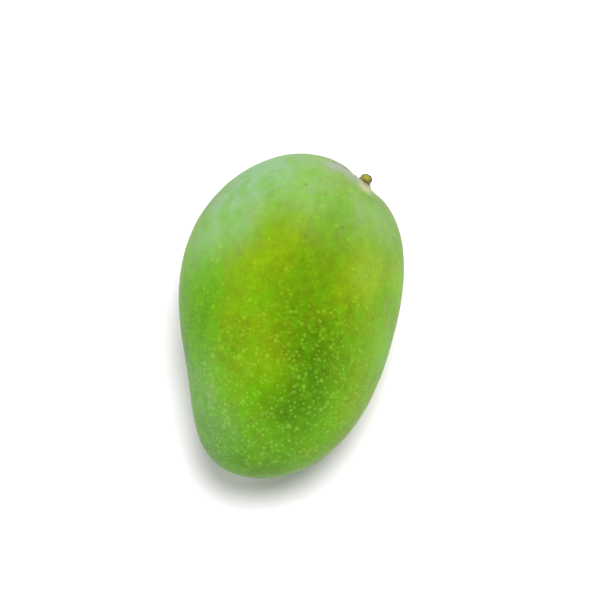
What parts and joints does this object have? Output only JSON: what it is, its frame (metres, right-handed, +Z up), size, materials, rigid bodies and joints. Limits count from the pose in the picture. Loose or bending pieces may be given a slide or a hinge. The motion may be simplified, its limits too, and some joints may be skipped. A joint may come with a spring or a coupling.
{
  "type": "mango",
  "caption": "Whole green mango lying on its cheek, with a short broken stem stub in a shallow cavity, resting on a small flat spot.",
  "frame": {"origin": "middle of the fruit's outline seen from above, on the surface that it rests on", "axes": "+X along the fruit towards the stem end, +Y across it towards the side with the beak, +Z up through its thickness"},
  "size_m": [0.1128, 0.0754, 0.0658],
  "materials": {
    "skin": "waxy semi-gloss green skin with pale dots and a soft bloom",
    "stem": "rough olive-brown broken stem"
  },
  "bodies": {
    "root": {"fruit": "skin", "stem": "stem"}
  },
  "joints": []
}
